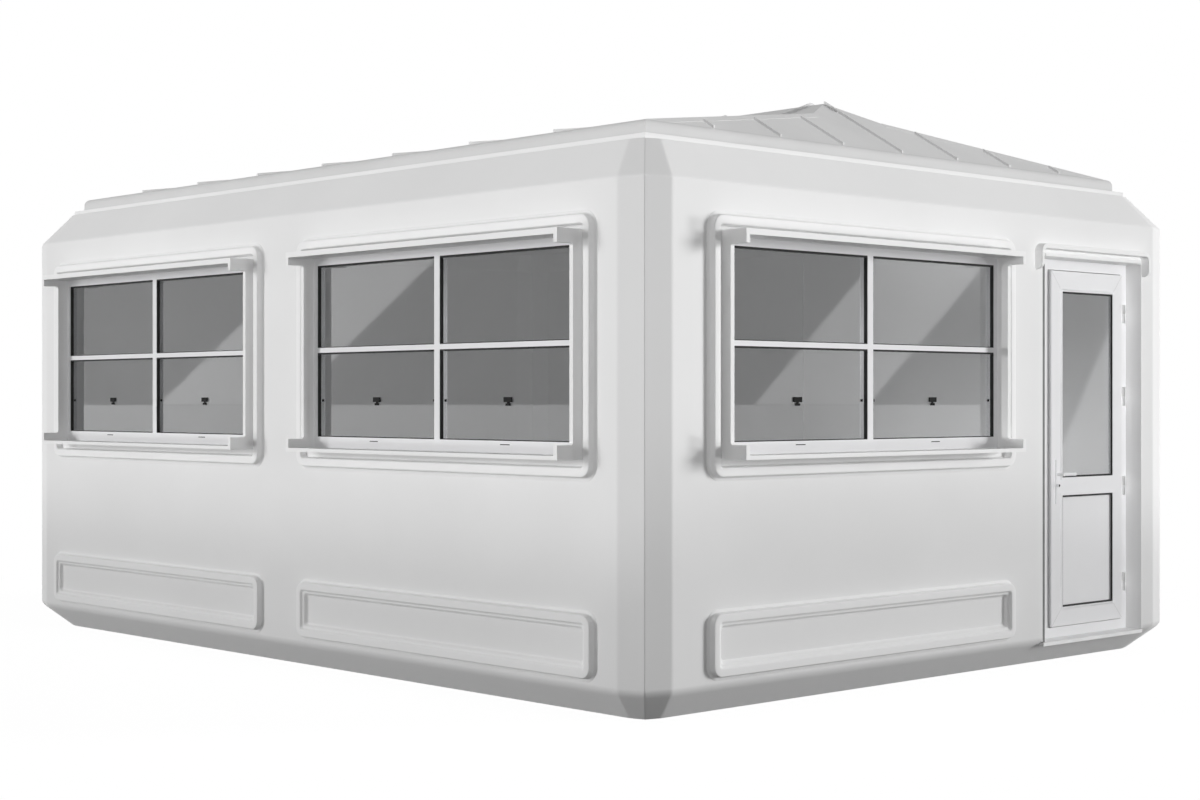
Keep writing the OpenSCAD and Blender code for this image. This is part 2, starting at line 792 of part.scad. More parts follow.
// The door frame, with a stop behind the leaf
module door_frame() {
    color(WHITE) on_front(0) difference() {
        box([frame_left, recess_d, door_bottom], [recess_right, frame_end_d, recess_top_z]);
        box([frame_left + jamb_w, 0, door_bottom + jamb_w],
            [recess_right - jamb_w, frame_end_d - stop_t, recess_top_z - jamb_w]);
        box([frame_left + jamb_w + stop_w, 0, door_bottom + jamb_w + stop_w],
            [recess_right - jamb_w - stop_w, frame_end_d + over, recess_top_z - jamb_w - stop_w]);
    }
}

module door_threshold() {
    color(METAL) on_front(0)
        box([recess_left, -threshold_out, floor_h], [recess_right, frame_end_d, door_bottom]);
}

// Lift-off hinges: a post on the frame carries a pin, and a flag on the leaf turns on that pin
module hinge_places() {
    on_front(hinge_x) for (z = hinge_bottoms) translate([0, hinge_d, z]) children();
}

module door_hinge_posts() {
    post_x = 0.75 * knuckle_r;
    color(METAL) hinge_places() {
        cylinder(h = half_hinge, r = knuckle_r);
        cylinder(h = hinge_h - pin_r, r = pin_r);
        box([post_x, -knuckle_r / 2, 0], [post_x + 3 * knuckle_r, recess_d - hinge_d, half_hinge]);
    }
}

module door_hinge_flags() {
    color(METAL) hinge_places() difference() {
        translate([0, 0, half_hinge + seat]) {
            cylinder(h = half_hinge - seat, r = knuckle_r);
            box([-4 * knuckle_r, knuckle_r / 2, 0], [0, leaf_front - hinge_d, half_hinge - seat]);
        }
        cylinder(h = hinge_h - pin_r + seat, r = pin_r + seat);
    }
}

// The leaf: stiles and rails round a glazed light and a lower panel
module door_leaf() {
    color(WHITE) on_front(0) difference() {
        box([leaf_left, leaf_front, leaf_bottom], [leaf_right, leaf_back, leaf_top]);
        for (span = [light_span, panel_span])
            box([light_left, 0, span[0]], [light_right, frame_end_d, span[1]]);
    }
}

// A sheet that fills one of the leaf's openings, behind the leaf's face
module leaf_infill(span, t) {
    face = leaf_front + infill_back;
    on_front(0)
        box([light_left + seat, face, span[0] + seat], [light_right - seat, face + t, span[1] - seat]);
}

module door_glass() { color(GLASS) leaf_infill(light_span, glass_t); }
module door_panel() { color(WHITE) leaf_infill(panel_span, panel_t); }

// A lever handle on its plate, standing out of a leaf face at Y = 0 towards -Y
module lever_set() {
    plate_t = plate_w / 4;
    lever_r = plate_w / 3.4;
    lever_out = 1.6 * plate_w;
    lock_drop = 57;
    box([-plate_w / 2, -plate_t, -2 * plate_h / 3], [plate_w / 2, 0, plate_h / 3]);
    upright() cylinder(h = lever_out, r = lever_r);
    translate([0, -lever_out + lever_r, 0]) rotate([0, 90, 0]) cylinder(h = lever_l, r = lever_r);
    translate([0, 0, -lock_drop]) upright() cylinder(h = plate_t + lever_r, r = lever_r);
}

module door_handle() {
    color(METAL) on_front(handle_x) {
        translate([0, leaf_front, leaf_bottom + lever_z]) lever_set();
        translate([0, leaf_back, leaf_bottom + lever_z]) mirror([0, 1, 0]) lever_set();
    }
}

floor_deck();
front_wall_panel();
front_wall_lintel();
front_wall_pier();
front_wall_skirt();
left_wall_front();
left_wall_back();
right_wall_front();
right_wall_back();
back_wall();
ceiling_panel();
inner_joint_strips();
eave_rim();
roof_fascia();
roof_front();
roof_back();
roof_left();
roof_right();
ridge_cap();
hip_caps();
front_window_moulding();
left_window_mouldings();
front_lower_moulding();
left_lower_mouldings();
blank_panel_mouldings();
front_window_surround();
left_front_window_surround();
left_back_window_surround();
front_window_frame();
left_front_window_frame();
left_back_window_frame();
front_window_glass();
left_front_window_glass();
left_back_window_glass();
pane_latches();
door_canopy();
door_lining();
door_frame();
door_threshold();
door_hinge_posts();
door_leaf();
door_glass();
door_panel();
door_handle();
door_hinge_flags();
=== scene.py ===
"""Looks of a security guard booth: a moulded white panel cabin with a hipped standing-seam roof."""

import math

import bmesh
import bpy
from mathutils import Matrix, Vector

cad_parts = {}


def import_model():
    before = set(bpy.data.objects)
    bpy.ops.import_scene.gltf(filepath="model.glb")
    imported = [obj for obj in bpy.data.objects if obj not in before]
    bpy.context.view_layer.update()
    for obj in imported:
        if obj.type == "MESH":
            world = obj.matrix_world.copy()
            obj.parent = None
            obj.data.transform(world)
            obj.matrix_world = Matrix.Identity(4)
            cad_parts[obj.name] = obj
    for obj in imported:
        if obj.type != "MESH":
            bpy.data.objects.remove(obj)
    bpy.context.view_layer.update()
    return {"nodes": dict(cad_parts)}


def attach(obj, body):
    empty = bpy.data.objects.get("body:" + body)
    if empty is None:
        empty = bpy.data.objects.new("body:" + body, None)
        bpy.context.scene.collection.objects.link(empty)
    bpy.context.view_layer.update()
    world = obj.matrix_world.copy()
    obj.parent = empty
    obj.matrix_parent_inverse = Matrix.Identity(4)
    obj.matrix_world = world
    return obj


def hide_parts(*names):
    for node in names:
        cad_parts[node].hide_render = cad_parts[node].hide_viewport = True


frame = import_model()
nodes = frame["nodes"]

# All sizes are in metres. On a wall, u runs to the right as seen from outside, d inwards and z up.

# Cabin body: half sizes, wall, chamfers at the foot and under the eaves, and folded corners
HALF_W = 1.998
HALF_L = 2.630
WALL_T = 0.060
BASE_H = 0.128
BASE_IN = 0.146
FOLD_Z = 2.278
TOP_Z = 2.455
TOP_IN = 0.146
CORNER_RUN = 0.163
CORNER_IN = 0.036
CORNER_END_RUN = 0.095
CORNER_END_IN = 0.021

# Window mouldings and lower mouldings
RING_W = 2.190
RING_BOTTOM = 1.003
RING_TOP = 2.153
RING_H = 0.030
RING_R = 0.072
RING_INNER_R = 0.018
LOW_BOTTOM = 0.155
LOW_TOP = 0.459
LOW_H = 0.030
LOW_R = 0.066

# Windows: the middle of each on its wall, the surrounds, the panes and the latches
FRONT_U = -0.535
SIDE_Y = 1.250
WINDOWS = (("front", "front", FRONT_U), ("left_front", "left", SIDE_Y), ("left_back", "left", -SIDE_Y))
SURROUND_W = 2.003
SILL_BOTTOM = 1.095
HOOD_TOP = 2.073
GLASS_D = 0.031
PANE_X = 0.4843
PANE_HALF = 0.4643
PANES = ((1.167, 1.581), (1.605, 2.011))
FRAME_FACE_D = 0.011
LATCH_Z = 1.346
LATCH_H = 0.0308

# Door: recess, leaf, the openings for its glass and its panel, hinges and lock
RECESS_LEFT = 0.811
RECESS_RIGHT = 1.719
RECESS_TOP = 2.073
FLOOR_Z = 0.103
LEAF = ((1.007, 0.178), (1.662, 2.016))
LEAF_D = 0.082
INFILL_D = 0.089
INFILLS = (((1.103, 0.9465), (1.566, 1.910)), ((1.103, 0.276), (1.566, 0.8535)))
BEAD_W = 0.013
FRAME_D = 0.095
HINGE_U = 1.6645
HINGE_D = 0.069
HINGE_Z = tuple(LEAF[0][1] + share * (LEAF[1][1] - LEAF[0][1]) for share in (0.08, 0.36, 0.62, 0.86))
LOCK_U = 1.055
LOCK_Z = 0.907
LOCK_OUT = 0.0163

# Roof: eaves, end of the ridge, slopes and half width of the ridge cap
EAVE_X = 1.748
EAVE_Y = 2.380
EAVE_Z = 2.549
RIDGE_Y = 1.974
END_SLOPE = 0.589
SIDE_SLOPE = 0.1367
CAP_HALF = 0.265


# Materials

def new_material(name):
    """A material with an empty node tree, and that tree."""
    material = bpy.data.materials.new(name)
    material.use_nodes = True
    tree = material.node_tree
    tree.nodes.clear()
    return material, tree


def add(tree, kind, **values):
    """A node, with its properties and the defaults of its inputs set by name."""
    node = tree.nodes.new(kind)
    for key, value in values.items():
        if key in node.inputs.keys():
            node.inputs[key].default_value = value
        else:
            setattr(node, key, value)
    return node


def noise(tree, coords, scale, detail=3.0):
    """A noise texture over the object's own coordinates."""
    texture = add(tree, "ShaderNodeTexNoise", Scale=scale, Detail=detail)
    tree.links.new(coords, texture.inputs["Vector"])
    return texture.outputs["Fac"]


def ramp(tree, value, low, high, dark, light):
    """Maps a value between two places to a colour between two greys or colours."""
    node = tree.nodes.new("ShaderNodeValToRGB")
    node.color_ramp.elements[0].position = low
    node.color_ramp.elements[1].position = high
    node.color_ramp.elements[0].color = (*dark, 1)
    node.color_ramp.elements[1].color = (*light, 1)
    tree.links.new(value, node.inputs["Fac"])
    return node.outputs["Color"]


def span(tree, value, low, high):
    """Maps a 0 to 1 value to a number between low and high."""
    node = tree.nodes.new("ShaderNodeMapRange")
    node.inputs["To Min"].default_value = low
    node.inputs["To Max"].default_value = high
    tree.links.new(value, node.inputs["Value"])
    return node.outputs["Result"]


def soft_step(tree, value, start, stop):
    """0 where a value is at start, 1 where it is at stop, and smooth between them."""
    node = add(tree, "ShaderNodeMapRange", interpolation_type="SMOOTHSTEP")
    node.inputs["From Min"].default_value = start
    node.inputs["From Max"].default_value = stop
    tree.links.new(value, node.inputs["Value"])
    return node.outputs["Result"]


def calc(tree, operation, *terms):
    """A math node; each term is a number or another node's output."""
    node = tree.nodes.new("ShaderNodeMath")
    node.operation = operation
    for socket, term in zip(node.inputs, terms):
        if isinstance(term, (int, float)):
            socket.default_value = term
        else:
            tree.links.new(term, socket)
    return node.outputs[0]


def ray_kinds(tree):
    """1 for camera rays, and 1 for rays that come by way of a reflection or through glass."""
    path = tree.nodes.new("ShaderNodeLightPath")
    mirrored = calc(tree, "MAXIMUM", path.outputs["Is Glossy Ray"], path.outputs["Is Transmission Ray"])
    return path.outputs["Is Camera Ray"], mirrored


def mix_shaders(tree, share, first, second):
    """The first shader where share is 0, and the second where it is 1."""
    node = tree.nodes.new("ShaderNodeMixShader")
    tree.links.new(share, node.inputs["Fac"])
    tree.links.new(first, node.inputs[1])
    tree.links.new(second, node.inputs[2])
    return node.outputs["Shader"]


def finish_surface(name, dark, light, rough, patch, grain, bump, metallic=0.0, specular=0.5):
    """A finish with soft colour patches, uneven gloss and a fine surface grain.

    patch and grain are the scales of the colour patches and of the grain, per metre."""
    gloss_range, grain_height, patch_low, patch_high = 0.05, 0.0006, 0.35, 0.65
    material, tree = new_material(name)
    output = tree.nodes.new("ShaderNodeOutputMaterial")
    shader = add(tree, "ShaderNodeBsdfPrincipled", Metallic=metallic)
    shader.inputs["Specular IOR Level"].default_value = specular
    coords = tree.nodes.new("ShaderNodeTexCoord").outputs["Object"]
    patches = noise(tree, coords, patch)
    grains = noise(tree, coords, grain, 2.0)
    colour = ramp(tree, patches, patch_low, patch_high, dark, light)
    tree.links.new(colour, shader.inputs["Base Color"])
    tree.links.new(span(tree, patches, rough - gloss_range, rough + gloss_range), shader.inputs["Roughness"])
    relief = add(tree, "ShaderNodeBump", Strength=bump, Distance=grain_height)
    tree.links.new(grains, relief.inputs["Height"])
    tree.links.new(relief.outputs["Normal"], shader.inputs["Normal"])
    tree.links.new(shader.outputs["BSDF"], output.inputs["Surface"])
    return material


def grey(value):
    """A neutral colour."""
    return (value, value, value)


PANEL = finish_surface("gel_coat", grey(0.815), grey(0.84),
                       rough=0.42, patch=1.3, grain=260.0, bump=0.10, specular=0.15)
# A lighter copy of the gel coat for the mouldings, window surrounds, hinges and door canopy: painted light,
# standing in for the extra light that their raised faces catch.
MOULDING_PAINTED_LIGHTER = finish_surface("moulding_painted_lighter", grey(0.865), grey(0.885),
                         rough=0.40, patch=1.3, grain=260.0, bump=0.08)
PROFILE = finish_surface("white_profile", (0.80, 0.80, 0.81), (0.82, 0.82, 0.83),
                         rough=0.36, patch=3.0, grain=420.0, bump=0.06)
ROOF = finish_surface("roof_sheet", grey(0.74), grey(0.78),
                      rough=0.48, patch=2.2, grain=180.0, bump=0.16)
TRIM = finish_surface("eave_trim", grey(0.64), grey(0.67),
                      rough=0.42, patch=2.2, grain=260.0, bump=0.10)
INNER = finish_surface("inner_panel", grey(0.82), grey(0.85),
                       rough=0.55, patch=1.5, grain=240.0, bump=0.10)
BOARD = finish_surface("floor_board", grey(0.50), grey(0.56),
                       rough=0.6, patch=4.0, grain=90.0, bump=0.2)
# Black for the window and door gaskets, and for the drain slots, where it is painted shade for the slots'
# dark insides.
RUBBER_AND_SLOT_SHADE = finish_surface("black_gasket_and_slot_shade", grey(0.010), grey(0.016),
                        rough=0.6, patch=20.0, grain=600.0, bump=0.1)
# Black for the window latches, and for the keyhole, where it is painted shade for the hole's dark inside.
PLASTIC_AND_KEYHOLE_SHADE = finish_surface("black_plastic", grey(0.008), grey(0.014),
                         rough=0.55, patch=20.0, grain=500.0, bump=0.1, specular=0.15)
SILVER = finish_surface("brushed_threshold", grey(0.80), grey(0.86),
                        rough=0.36, patch=10.0, grain=500.0, bump=0.08, metallic=0.3)
JOINT = finish_surface("mitre_joint", grey(0.60), grey(0.66),
                       rough=0.5, patch=8.0, grain=300.0, bump=0.05)
# Dark grey for the strip at the left edge of the door's recess: painted shade where that edge lies in shadow.
RECESS_SHADE = finish_surface("painted_recess_shade", grey(0.15), grey(0.19),
                      rough=0.55, patch=12.0, grain=500.0, bump=0.1)


def glass_material():
    """Grey tinted glass: clear to shadow rays, so that light enters the room through it."""
    material, tree = new_material("tinted_glass")
    output = tree.nodes.new("ShaderNodeOutputMaterial")
    shader = add(tree, "ShaderNodeBsdfPrincipled", Roughness=0.0, IOR=1.85)
    shader.inputs["Transmission Weight"].default_value = 1.0
    coords = tree.nodes.new("ShaderNodeTexCoord").outputs["Object"]
    tint = ramp(tree, noise(tree, coords, 0.8), 0.3, 0.7, (0.91, 0.92, 0.93), (0.94, 0.95, 0.96))
    tree.links.new(tint, shader.inputs["Base Color"])
    clear = add(tree, "ShaderNodeBsdfTransparent", Color=(1, 1, 1, 1))
    shadow = tree.nodes.new("ShaderNodeLightPath").outputs["Is Shadow Ray"]
    glass = mix_shaders(tree, shadow, shader.outputs["BSDF"], clear.outputs["BSDF"])
    tree.links.new(glass, output.inputs["Surface"])
    return material


GLASS = glass_material()


# Mesh helpers

BOX_FACES = ((0, 1, 3, 2), (4, 6, 7, 5), (0, 4, 5, 1), (2, 3, 7, 6), (0, 2, 6, 4), (1, 5, 7, 3))


def paint(obj, material):
    """Makes a material the only one of an object."""
    obj.data.materials.clear()
    obj.data.materials.append(material)


def new_piece(name, verts, faces, material, body, smooth=True):
    """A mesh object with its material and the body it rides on."""
    mesh = bpy.data.meshes.new(name)
    mesh.from_pydata(verts, [], faces)
    mesh.update()
    obj = bpy.data.objects.new(name, mesh)
    bpy.context.scene.collection.objects.link(obj)
    cleaned = bmesh.new()
    cleaned.from_mesh(mesh)
    bmesh.ops.remove_doubles(cleaned, verts=cleaned.verts, dist=1e-5)
    bmesh.ops.recalc_face_normals(cleaned, faces=cleaned.faces)
    cleaned.to_mesh(mesh)
    cleaned.free()
    paint(obj, material)
    if smooth:
        mesh.shade_smooth()
    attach(obj, body)
    return obj


def soften(obj, width):
    """Rounds a piece's edges. Flat faces are joined first, so that only real edges are rounded."""
    flat = obj.modifiers.new("flat_faces", "DECIMATE")
    flat.decimate_type = "DISSOLVE"
    flat.angle_limit = math.radians(1)
    bevel = obj.modifiers.new("edge_round", "BEVEL")
    bevel.width = width
    bevel.segments = 2
    bevel.limit_method = "ANGLE"
    bevel.angle_limit = math.radians(30)
    bevel.harden_normals = True
    obj.data.shade_smooth()


def weigh_normals(obj):
    """Keeps large faces flat in the shading, so that only the narrow strips at folds look curved."""
    weighted = obj.modifiers.new("flat_shading", "WEIGHTED_NORMAL")
    weighted.keep_sharp = True
    weighted.weight = 100


def on_wall(wall, u, d, z):
    """The place in the frame of a point on a wall."""
    if wall == "front":
        return (u, -HALF_L + d, z)
    if wall == "back":
        return (-u, HALF_L - d, z)
    if wall == "left":
        return (-HALF_W + d, -u, z)
    return (HALF_W - d, u, z)


def box_corners(wall, low, high):
    """The corners of a box on a wall, between two opposite corners (u, d, z), in the order of BOX_FACES."""
    return [on_wall(wall, u, d, z)
            for z in (low[2], high[2]) for d in (low[1], high[1]) for u in (low[0], high[0])]


def tube_faces(rows, cols, closed=False):
    """The faces of a tube through rows of points. A closed tube runs back to its first row."""
    faces = []
    for row in range(rows if closed else rows - 1):
        start, after = row * cols, (row + 1) % rows * cols
        for k in range(cols):
            n = (k + 1) % cols
            faces.append((start + k, start + n, after + n, after + k))
    if not closed:
        faces += [tuple(range(cols)), tuple(range((rows - 1) * cols, rows * cols))]
    return faces


def join(verts, faces, more_verts, more_faces):
    """Adds one mesh's points and faces to another's lists."""
    faces += [tuple(len(verts) + i for i in face) for face in more_faces]
    verts += more_verts


def boxes_piece(name, wall, boxes, material, body, bevel=0.0):
    """One piece made of several boxes on a wall."""
    verts, faces = [], []
    for low, high in boxes:
        join(verts, faces, box_corners(wall, low, high), BOX_FACES)
    obj = new_piece(name, verts, faces, material, body, smooth=False)
    if bevel:
        soften(obj, bevel)
    return obj


def corner_curve(before, point, after, cut, steps):
    """Points of a small curve in place of a corner; it starts and ends cut away from the corner."""
    back, ahead, most = before - point, after - point, 0.45
    cut = min(cut, most * back.length, most * ahead.length)
    start = point + back.normalized() * cut
    stop = point + ahead.normalized() * cut
    shares = [k / steps for k in range(steps + 1)]
    return [start * (1 - t) ** 2 + point * 2 * t * (1 - t) + stop * t ** 2 for t in shares]


# Cabin body: one smooth moulded shell with softly folded edges

def soft_ramp(x, half):
    """0 below 0 and x above it, with a parabola over a width of half on both sides of 0."""
    if x <= -half:
        return 0.0
    if x >= half:
        return x
    return (x + half) ** 2 / (4 * half)


def shell_level(z, inset, low_soft, high_soft):
    """The shell's outline at a height: points round the plan, with small curves at the folds."""
    apex_cut, fold_cut, steps = 0.003, 0.010, 3
    low = soft_ramp((BASE_H - z) / BASE_H, low_soft / BASE_H)
    high = soft_ramp((z - FOLD_Z) / (TOP_Z - FOLD_Z), high_soft / (TOP_Z - FOLD_Z))
    share, end_in = (low, BASE_IN) if low > high else (high, TOP_IN)

    def toward(a, b):
        return a + (b - a) * share

    side = toward(0.0, end_in) + inset
    run = toward(CORNER_RUN, end_in + CORNER_END_RUN) + inset
    apex = toward(CORNER_IN, end_in + CORNER_END_IN) + inset
    points = []
    for c, (sx, sy) in enumerate(((-1, -1), (1, -1), (1, 1), (-1, 1))):
        on_side = Vector((sx * (HALF_W - side), sy * (HALF_L - run), z))
        seam = Vector((sx * (HALF_W - apex), sy * (HALF_L - apex), z))
        on_end = Vector((sx * (HALF_W - run), sy * (HALF_L - side), z))
        points += [on_side, seam, on_end] if c % 2 == 0 else [on_end, seam, on_side]
    curved = []
    for i, point in enumerate(points):
        cut = apex_cut if i % 3 == 1 else fold_cut
        curved += corner_curve(points[i - 1], point, points[(i + 1) % len(points)], cut, steps)
    return curved


def window_cuts():
    """Boxes that cut the windows through a skin: each is (wall, corner, opposite corner)."""
    lap, before, behind = 0.002, -0.1, 0.2
    return [(wall, (u - SURROUND_W / 2 + lap, before, SILL_BOTTOM + lap),
             (u + SURROUND_W / 2 - lap, behind, HOOD_TOP - lap)) for _, wall, u in WINDOWS]


def body_shell(name, outer, inner, material, door_side):
    """A skin of the walls, between two depths, with the window and door openings cut through.

    door_side is how far the door's opening reaches past the recess on the hinge side."""
    low_soft, high_soft = 0.022, 0.008
    low_steps, high_steps = 8, 6
    heights = [0.0, 0.02, 0.04]
    heights += [BASE_H - low_soft + 2 * low_soft * k / low_steps for k in range(low_steps + 1)]
    heights += [FOLD_Z - high_soft + 2 * high_soft * k / high_steps for k in range(high_steps + 1)]
    heights += [(FOLD_Z + TOP_Z) / 2, TOP_Z]
    loops = [shell_level(z, outer, low_soft, high_soft) for z in heights]
    loops += [shell_level(z, inner, low_soft, high_soft) for z in reversed(heights)]
    verts = [tuple(p) for loop in loops for p in loop]
    faces = tube_faces(len(loops), len(loops[0]), closed=True)
    shell = new_piece(name, verts, faces, material, "booth", smooth=False)
    recess_lap, floor_lap, before, behind = 0.010, 0.002, -0.1, 0.4
    cuts = window_cuts()
    cuts.append(("front", (RECESS_LEFT - recess_lap, before, FLOOR_Z + floor_lap),
                 (RECESS_RIGHT + door_side, behind, RECESS_TOP + recess_lap)))
    verts, faces = [], []
    for wall, low, high in cuts:
        join(verts, faces, box_corners(wall, low, high), BOX_FACES)
    cutter = new_piece("openings", verts, faces, PANEL, "booth", smooth=False)
    cut = shell.modifiers.new("openings", "BOOLEAN")
    cut.operation = "DIFFERENCE"
    cut.object = cutter
    cut.solver = "EXACT"
    bpy.context.view_layer.objects.active = shell
    bpy.ops.object.modifier_apply(modifier=cut.name)
    bpy.data.objects.remove(cutter)
    shell.data.shade_smooth()
    shell.data.set_sharp_from_angle(angle=math.radians(25))
    weigh_normals(shell)
    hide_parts("front_wall_panel", "front_wall_lintel", "front_wall_pier", "front_wall_skirt",
                "left_wall_front", "left_wall_back", "right_wall_front", "right_wall_back", "back_wall")


# Raised mouldings with rounded edges

def ring_piece(name, places, profile, bottom, top, radius, node):
    """Rounded-rectangle rings on walls; the profile runs from the outer foot to the inner foot.

    A profile point is (distance inwards from the ring's outer edge, height over the wall)."""
    steps = 8
    path = []
    for c, (sx, sz) in enumerate(((1, 1), (-1, 1), (-1, -1), (1, -1))):
        path += [(sx, sz, math.radians(90 * c + 90 * k / steps)) for k in range(steps + 1)]
    verts, faces = [], []
    for wall, u in places:
        points = []
        for sx, sz, angle in path:
            for off, height in profile:
                left = max(radius - off, RING_INNER_R)
                across = sx * (RING_W / 2 - off - left) + left * math.cos(angle)
                up = sz * ((top - bottom) / 2 - off - left) + left * math.sin(angle)
                points.append(on_wall(wall, u + across, -height, (top + bottom) / 2 + up))
        join(verts, faces, points, tube_faces(len(path), len(profile), closed=True))
    obj = new_piece(name, verts, faces, MOULDING_PAINTED_LIGHTER, "booth")
    obj.data.set_sharp_from_angle(angle=math.radians(40))
    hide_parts(node)


def rounded(points, radius):
    """A profile with its inner points rounded by curves that start radius before each point."""
    result = [points[0]]
    for before, point, after in zip(points, points[1:], points[2:]):
        curve = corner_curve(Vector(before), Vector(point), Vector(after), radius, 4)
        result += [(q.x, q.y) for q in curve]
    result.append(points[-1])
    return result


def mouldings():
    """The window mouldings and the lower mouldings on all four walls."""
    sunk = -0.002
    window = rounded([(0.0, sunk), (0.0, 0.001), (0.014, 0.006), (0.019, RING_H), (0.057, RING_H),
                      (0.064, 0.0), (0.064, sunk)], 0.006)
    lower = rounded([(0.0, sunk), (0.0, 0.001), (0.014, 0.005), (0.019, LOW_H), (0.052, LOW_H),
                     (0.060, 0.019), (0.070, 0.017), (0.078, 0.003), (0.086, 0.0), (0.086, sunk)], 0.004)
    front = [("front", FRONT_U)]
    left = [("left", SIDE_Y), ("left", -SIDE_Y)]
    blank = [("right", SIDE_Y), ("right", -SIDE_Y), ("back", 0.0)]
    upper = (window, RING_BOTTOM, RING_TOP, RING_R)
    under = (lower, LOW_BOTTOM, LOW_TOP, LOW_R)
    for name, places, shape, node in (("front_ring", front, upper, "front_window_moulding"),
                                      ("left_rings", left, upper, "left_window_mouldings"),
                                      ("front_low_ring", front, under, "front_lower_moulding"),
                                      ("left_low_rings", left, under, "left_lower_mouldings"),
                                      ("blank_rings", blank, upper, "blank_panel_mouldings"),
                                      ("blank_low_rings", blank, under, "blank_panel_mouldings")):
        ring_piece(name, places, *shape, node)


# Windows

def window_gaskets():
    """Black gaskets in the reveals between the frame's face and the panes, thicker along the top."""
    thick, head = 0.004, 0.008
    front, back = FRAME_FACE_D + 0.002, GLASS_D - 0.0005
    for name, wall, mid in WINDOWS:
        boxes = []
        for side in (-1, 1):
            u0, u1 = mid + side * PANE_X - PANE_HALF, mid + side * PANE_X + PANE_HALF
            for low, high in PANES:
                boxes += [((u0, front, low), (u0 + thick, back, high)),
                          ((u1 - thick, front, low), (u1, back, high)),
                          ((u0, front, low), (u1, back, low + thick)),
                          ((u0, front, high - head), (u1, back, high))]
        boxes_piece(name + "_gaskets", wall, boxes, RUBBER_AND_SLOT_SHADE, "booth")


def window_fittings():
    """Latches with their tabs, stops at the panes' sides, and black marks in the frames' lower rails that are
    painted shade for the drain slots' dark insides.
    """
    cover, neck, tab, stop, stop_in = 0.027, 0.008, 0.015, 0.006, 0.022
    slot_z, slot, slot_h = 1.150, 0.032, 0.002
    low, high, back = LATCH_Z - LATCH_H / 4, LATCH_Z + LATCH_H / 2, GLASS_D + 0.0005
    neck_low, neck_high, tab_low, tab_high = low - 0.006, low + 0.001, low - 0.016, low - 0.005
    cover_d, neck_d, tab_d = GLASS_D - 0.006, GLASS_D - 0.003, GLASS_D - 0.005
    for name, wall, mid in WINDOWS:
        latches, slot_shades = [], []
        for side in (-1, 1):
            u = mid + side * PANE_X
            latches += [((u - cover, cover_d, low), (u + cover, back, high)),
                        ((u - neck, neck_d, neck_low), (u + neck, back, neck_high)),
                        ((u - tab, tab_d, tab_low), (u + tab, back, tab_high))]
            for end in (-1, 1):
                at = u + end * (PANE_HALF - stop_in)
                latches.append(((at - stop, tab_d, LATCH_Z - stop), (at + stop, back, LATCH_Z + stop)))
            # Black marks on the lower rails: painted shade for the drain slots' dark insides.
            slot_shades.append(((u - slot, FRAME_FACE_D - 0.001, slot_z - slot_h),
                          (u + slot, FRAME_FACE_D + 0.002, slot_z + slot_h)))
        piece = boxes_piece(name + "_window_latches", wall, latches, PLASTIC_AND_KEYHOLE_SHADE, "booth",
                            bevel=0.0008)
        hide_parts("pane_latches")
        boxes_piece(name + "_window_drain_slots", wall, slot_shades, RUBBER_AND_SLOT_SHADE, "booth")


# Door fittings

def frame_boxes(low, high, width, height, front, back):
    """Four boxes round an opening on the front wall: outwards from it, or inwards if negative.

    width is that of the uprights, and height that of the rails."""
    (u0, z0), (u1, z1) = low, high
    a0, b0, a1, b1 = u0 - width, z0 - height, u1 + width, z1 + height
    return [((min(u0, a0), front, min(z0, b0)), (max(u0, a0), back, max(z1, b1))),
            ((min(u1, a1), front, min(z0, b0)), (max(u1, a1), back, max(z1, b1))),
            ((min(u0, a0), front, min(z0, b0)), (max(u1, a1), back, max(z0, b0))),
            ((min(u0, a0), front, min(z1, b1)), (max(u1, a1), back, max(z1, b1)))]


def door_beads():
    """White beads and black gaskets round the door's glass and panel."""
    rubber, rubber_rail, rubber_in = 0.003, 0.009, 0.0015
    front = LEAF_D - 0.004
    beads, gaskets = [], []
    for low, high in INFILLS:
        beads += frame_boxes(low, high, BEAD_W, BEAD_W, front, LEAF_D + 0.001)
        gaskets += frame_boxes(low, high, -rubber, -rubber_rail, front + rubber_in, INFILL_D - 0.0005)
    boxes_piece("door_beads", "front", beads, PROFILE, "door", bevel=0.0015)
    boxes_piece("door_gaskets", "front", gaskets, RUBBER_AND_SLOT_SHADE, "door")


def door_mitres():
    """Thin joint lines on the leaf, from its corners to the corners of the beads."""
    half, inset, edge = 0.0007, 0.004, BEAD_W + 0.001
    front, back = LEAF_D - 0.0004, LEAF_D + 0.001
    (u0, z0), (u1, z1) = LEAF
    (i0, j0), (i1, j1) = INFILLS[1][0], INFILLS[0][1]
    verts, faces = [], []
    for z, j, sz in ((z0, j0 - edge, 1), (z1, j1 + edge, -1)):
        for u, i, su in ((u0, i0 - edge, 1), (u1, i1 + edge, -1)):
            corners = []
            for d in (front, back):
                for end_u, end_z in ((u + su * inset, z + sz * inset), (i, j)):
                    corners += [on_wall("front", end_u + half, d, end_z - su * sz * half),
                                on_wall("front", end_u - half, d, end_z + su * sz * half)]
            join(verts, faces, corners, BOX_FACES)
    new_piece("door_mitres", verts, faces, JOINT, "door", smooth=False)


